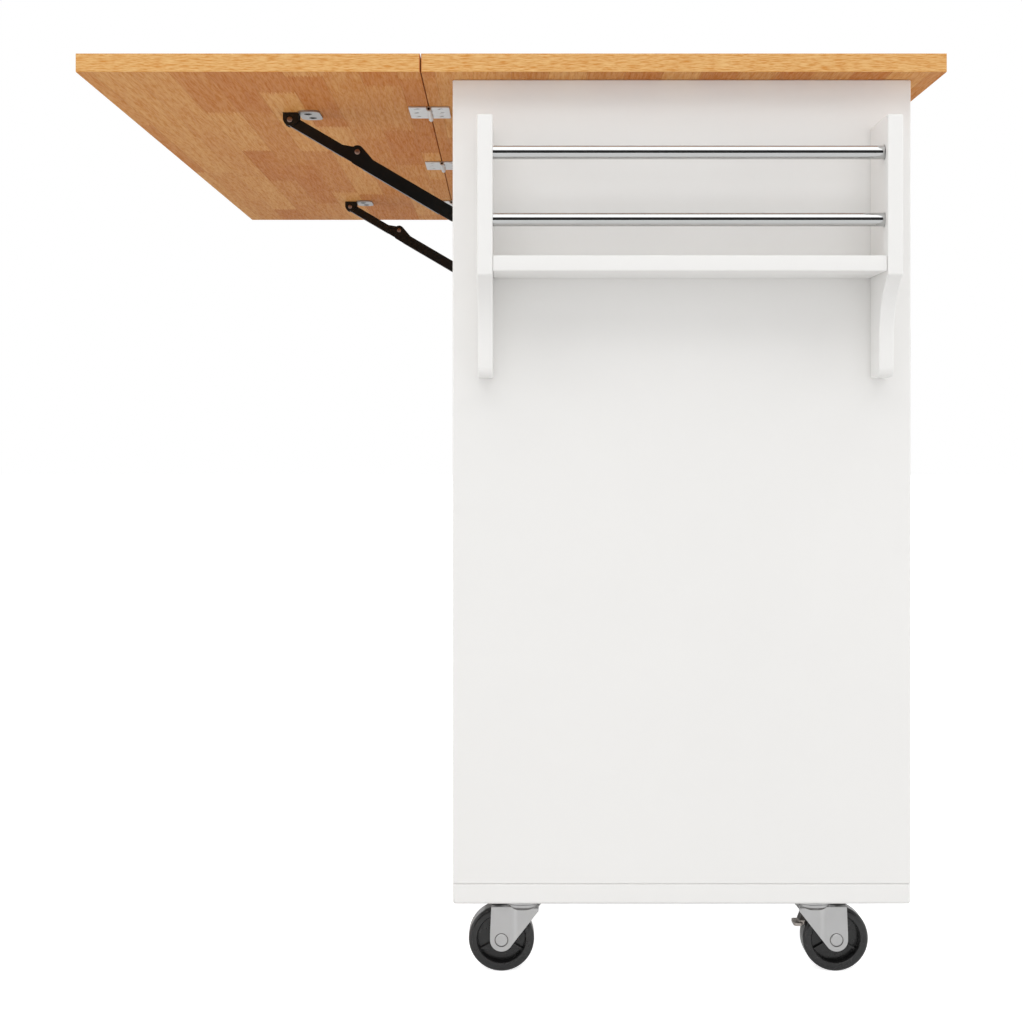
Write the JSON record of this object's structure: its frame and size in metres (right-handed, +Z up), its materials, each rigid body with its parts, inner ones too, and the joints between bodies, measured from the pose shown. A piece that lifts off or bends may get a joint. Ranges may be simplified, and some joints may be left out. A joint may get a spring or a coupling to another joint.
{
  "type": "drop leaf kitchen island",
  "caption": "Rolling kitchen island with a wood worktop, a folding drop leaf on locking supports, an end spice rack, drawers and cupboards.",
  "frame": {"origin": "on the floor, under the middle of the whole island with its leaf raised, rack included", "axes": "+Z up; +X across the cabinet towards its doors and drawers, -X towards the drop leaf; +Y along the island's length, away from the spice rack"},
  "size_m": [0.845, 1.1884, 0.91],
  "materials": {
    "butcher_block": "oiled rubberwood staves",
    "white_paint": "satin paint on board",
    "birch_ply": "clear lacquer",
    "zinc_steel": "zinc plated, satin",
    "rail_chrome": "polished",
    "black_steel": "black powder coat, satin",
    "copper_rivet": "dull copper",
    "wheel_plastic": "moulded, glossy",
    "satin_nickel": "satin nickel",
    "brake_steel": "dull plated steel",
    "catch_plastic": "matt"
  },
  "bodies": {
    "cabinet": {"base_board": "white_paint", "near_end_panel": "white_paint", "far_end_panel": "white_paint", "back_panel": "white_paint", "centre_divider": "white_paint", "front_rails": "white_paint", "cupboard_shelves": "white_paint", "shelf_pins": "zinc_steel", "door_catches": "catch_plastic", "drawer_runners": "zinc_steel", "door_hinge_frame_leaves": "satin_nickel", "worktop": "butcher_block", "leaf_hinge_fixed_leaves": "zinc_steel", "leaf_hinge_pins": "zinc_steel", "strut_wall_brackets": "black_steel", "rack_rear_board": "white_paint", "rack_front_board": "white_paint", "rack_shelf": "white_paint", "rack_rails": "rail_chrome", "caster_plates": "zinc_steel"},
    "drop_leaf": {"drop_leaf_board": "butcher_block", "leaf_hinge_swing_leaves": "zinc_steel", "strut_leaf_plates": "zinc_steel", "strut_leaf_clevises": "black_steel", "strut_leaf_rivets": "copper_rivet"},
    "near_lower_link": {"near_lower_link": "black_steel", "near_elbow_rivet": "copper_rivet"},
    "near_upper_link": {"near_upper_link": "black_steel"},
    "far_lower_link": {"far_lower_link": "black_steel", "far_elbow_rivet": "copper_rivet"},
    "far_upper_link": {"far_upper_link": "black_steel"},
    "near_drawer": {"near_drawer_front": "white_paint", "near_drawer_box": "birch_ply", "near_drawer_slides": "zinc_steel", "near_drawer_knob": "satin_nickel"},
    "far_drawer": {"far_drawer_front": "white_paint", "far_drawer_box": "birch_ply", "far_drawer_slides": "zinc_steel", "far_drawer_knob": "satin_nickel"},
    "near_door": {"near_door": "white_paint", "near_door_hinge_leaves": "satin_nickel", "near_door_knob": "satin_nickel"},
    "far_door": {"far_door": "white_paint", "far_door_hinge_leaves": "satin_nickel", "far_door_knob": "satin_nickel"},
    "near_rear_fork": {"near_rear_fork": "zinc_steel", "near_rear_axle": "zinc_steel"},
    "near_rear_wheel": {"near_rear_wheel": "wheel_plastic"},
    "near_front_fork": {"near_front_fork": "zinc_steel", "near_front_axle": "zinc_steel"},
    "near_front_wheel": {"near_front_wheel": "wheel_plastic"},
    "near_front_brake": {"near_front_brake": "brake_steel"},
    "far_rear_fork": {"far_rear_fork": "zinc_steel", "far_rear_axle": "zinc_steel"},
    "far_rear_wheel": {"far_rear_wheel": "wheel_plastic"},
    "far_front_fork": {"far_front_fork": "zinc_steel", "far_front_axle": "zinc_steel"},
    "far_front_wheel": {"far_front_wheel": "wheel_plastic"},
    "far_front_brake": {"far_front_brake": "brake_steel"}
  },
  "joints": [
    {"name": "leaf_fold", "type": "hinge", "parent": "cabinet", "child": "drop_leaf", "pos_m": [-0.088, 0.0217, 0.8893], "axis": [0, -1, 0], "range_deg": [0, 90]},
    {"name": "near_lower_link_turn", "type": "hinge", "parent": "cabinet", "child": "near_lower_link", "pos_m": [-0.0621, -0.3508, 0.77906], "axis": [0, -1, 0], "range_deg": [0, 120.5]},
    {"name": "near_upper_link_turn", "type": "hinge", "parent": "drop_leaf", "child": "near_upper_link", "pos_m": [-0.2413, -0.3508, 0.8842], "axis": [0, -1, 0], "range_deg": [-144.7, 0]},
    {"name": "far_lower_link_turn", "type": "hinge", "parent": "cabinet", "child": "far_lower_link", "pos_m": [-0.0621, 0.3642, 0.77906], "axis": [0, -1, 0], "range_deg": [0, 120.5]},
    {"name": "far_upper_link_turn", "type": "hinge", "parent": "drop_leaf", "child": "far_upper_link", "pos_m": [-0.2413, 0.3642, 0.8842], "axis": [0, -1, 0], "range_deg": [-144.7, 0]},
    {"name": "near_drawer_slide", "type": "slide", "parent": "cabinet", "child": "near_drawer", "axis": [1, 0, 0], "range_m": [0, 0.26]},
    {"name": "far_drawer_slide", "type": "slide", "parent": "cabinet", "child": "far_drawer", "axis": [1, 0, 0], "range_m": [0, 0.26]},
    {"name": "near_door_hinge", "type": "hinge", "parent": "cabinet", "child": "near_door", "pos_m": [0.3969, -0.4987, 0.4057], "axis": [0, 0, -1], "range_deg": [0, 100]},
    {"name": "far_door_hinge", "type": "hinge", "parent": "cabinet", "child": "far_door", "pos_m": [0.3969, 0.5421, 0.4057], "axis": [0, 0, 1], "range_deg": [0, 100]},
    {"name": "near_rear_swivel", "type": "hinge", "parent": "cabinet", "child": "near_rear_fork", "pos_m": [0.0113, -0.4757, 0.07], "axis": [0, 0, 1], "continuous": true},
    {"name": "near_rear_roll", "type": "hinge", "parent": "near_rear_fork", "child": "near_rear_wheel", "pos_m": [-0.0097, -0.4757, 0.033], "axis": [0, 1, 0], "continuous": true},
    {"name": "near_front_swivel", "type": "hinge", "parent": "cabinet", "child": "near_front_fork", "pos_m": [0.3058, -0.4757, 0.07], "axis": [0, 0, 1], "continuous": true},
    {"name": "near_front_roll", "type": "hinge", "parent": "near_front_fork", "child": "near_front_wheel", "pos_m": [0.3268, -0.4757, 0.033], "axis": [0, 1, 0], "continuous": true},
    {"name": "near_brake_pedal", "type": "hinge", "parent": "near_front_fork", "child": "near_front_brake", "pos_m": [0.2978, -0.4757, 0.0602], "axis": [0, -1, 0], "range_deg": [0, 6]},
    {"name": "far_rear_swivel", "type": "hinge", "parent": "cabinet", "child": "far_rear_fork", "pos_m": [0.0113, 0.5191, 0.07], "axis": [0, 0, 1], "continuous": true},
    {"name": "far_rear_roll", "type": "hinge", "parent": "far_rear_fork", "child": "far_rear_wheel", "pos_m": [-0.0097, 0.5191, 0.033], "axis": [0, 1, 0], "continuous": true},
    {"name": "far_front_swivel", "type": "hinge", "parent": "cabinet", "child": "far_front_fork", "pos_m": [0.3058, 0.5191, 0.07], "axis": [0, 0, 1], "continuous": true},
    {"name": "far_front_roll", "type": "hinge", "parent": "far_front_fork", "child": "far_front_wheel", "pos_m": [0.3268, 0.5191, 0.033], "axis": [0, 1, 0], "continuous": true},
    {"name": "far_brake_pedal", "type": "hinge", "parent": "far_front_fork", "child": "far_front_brake", "pos_m": [0.2978, 0.5191, 0.0602], "axis": [0, -1, 0], "range_deg": [0, 6]}
  ],
  "couplings": [
    {"joint": "near_lower_link_turn", "follows": "leaf_fold", "ratio": 1.3341},
    {"joint": "near_upper_link_turn", "follows": "leaf_fold", "ratio": -1.6029},
    {"joint": "far_lower_link_turn", "follows": "leaf_fold", "ratio": 1.3341},
    {"joint": "far_upper_link_turn", "follows": "leaf_fold", "ratio": -1.6029}
  ]
}
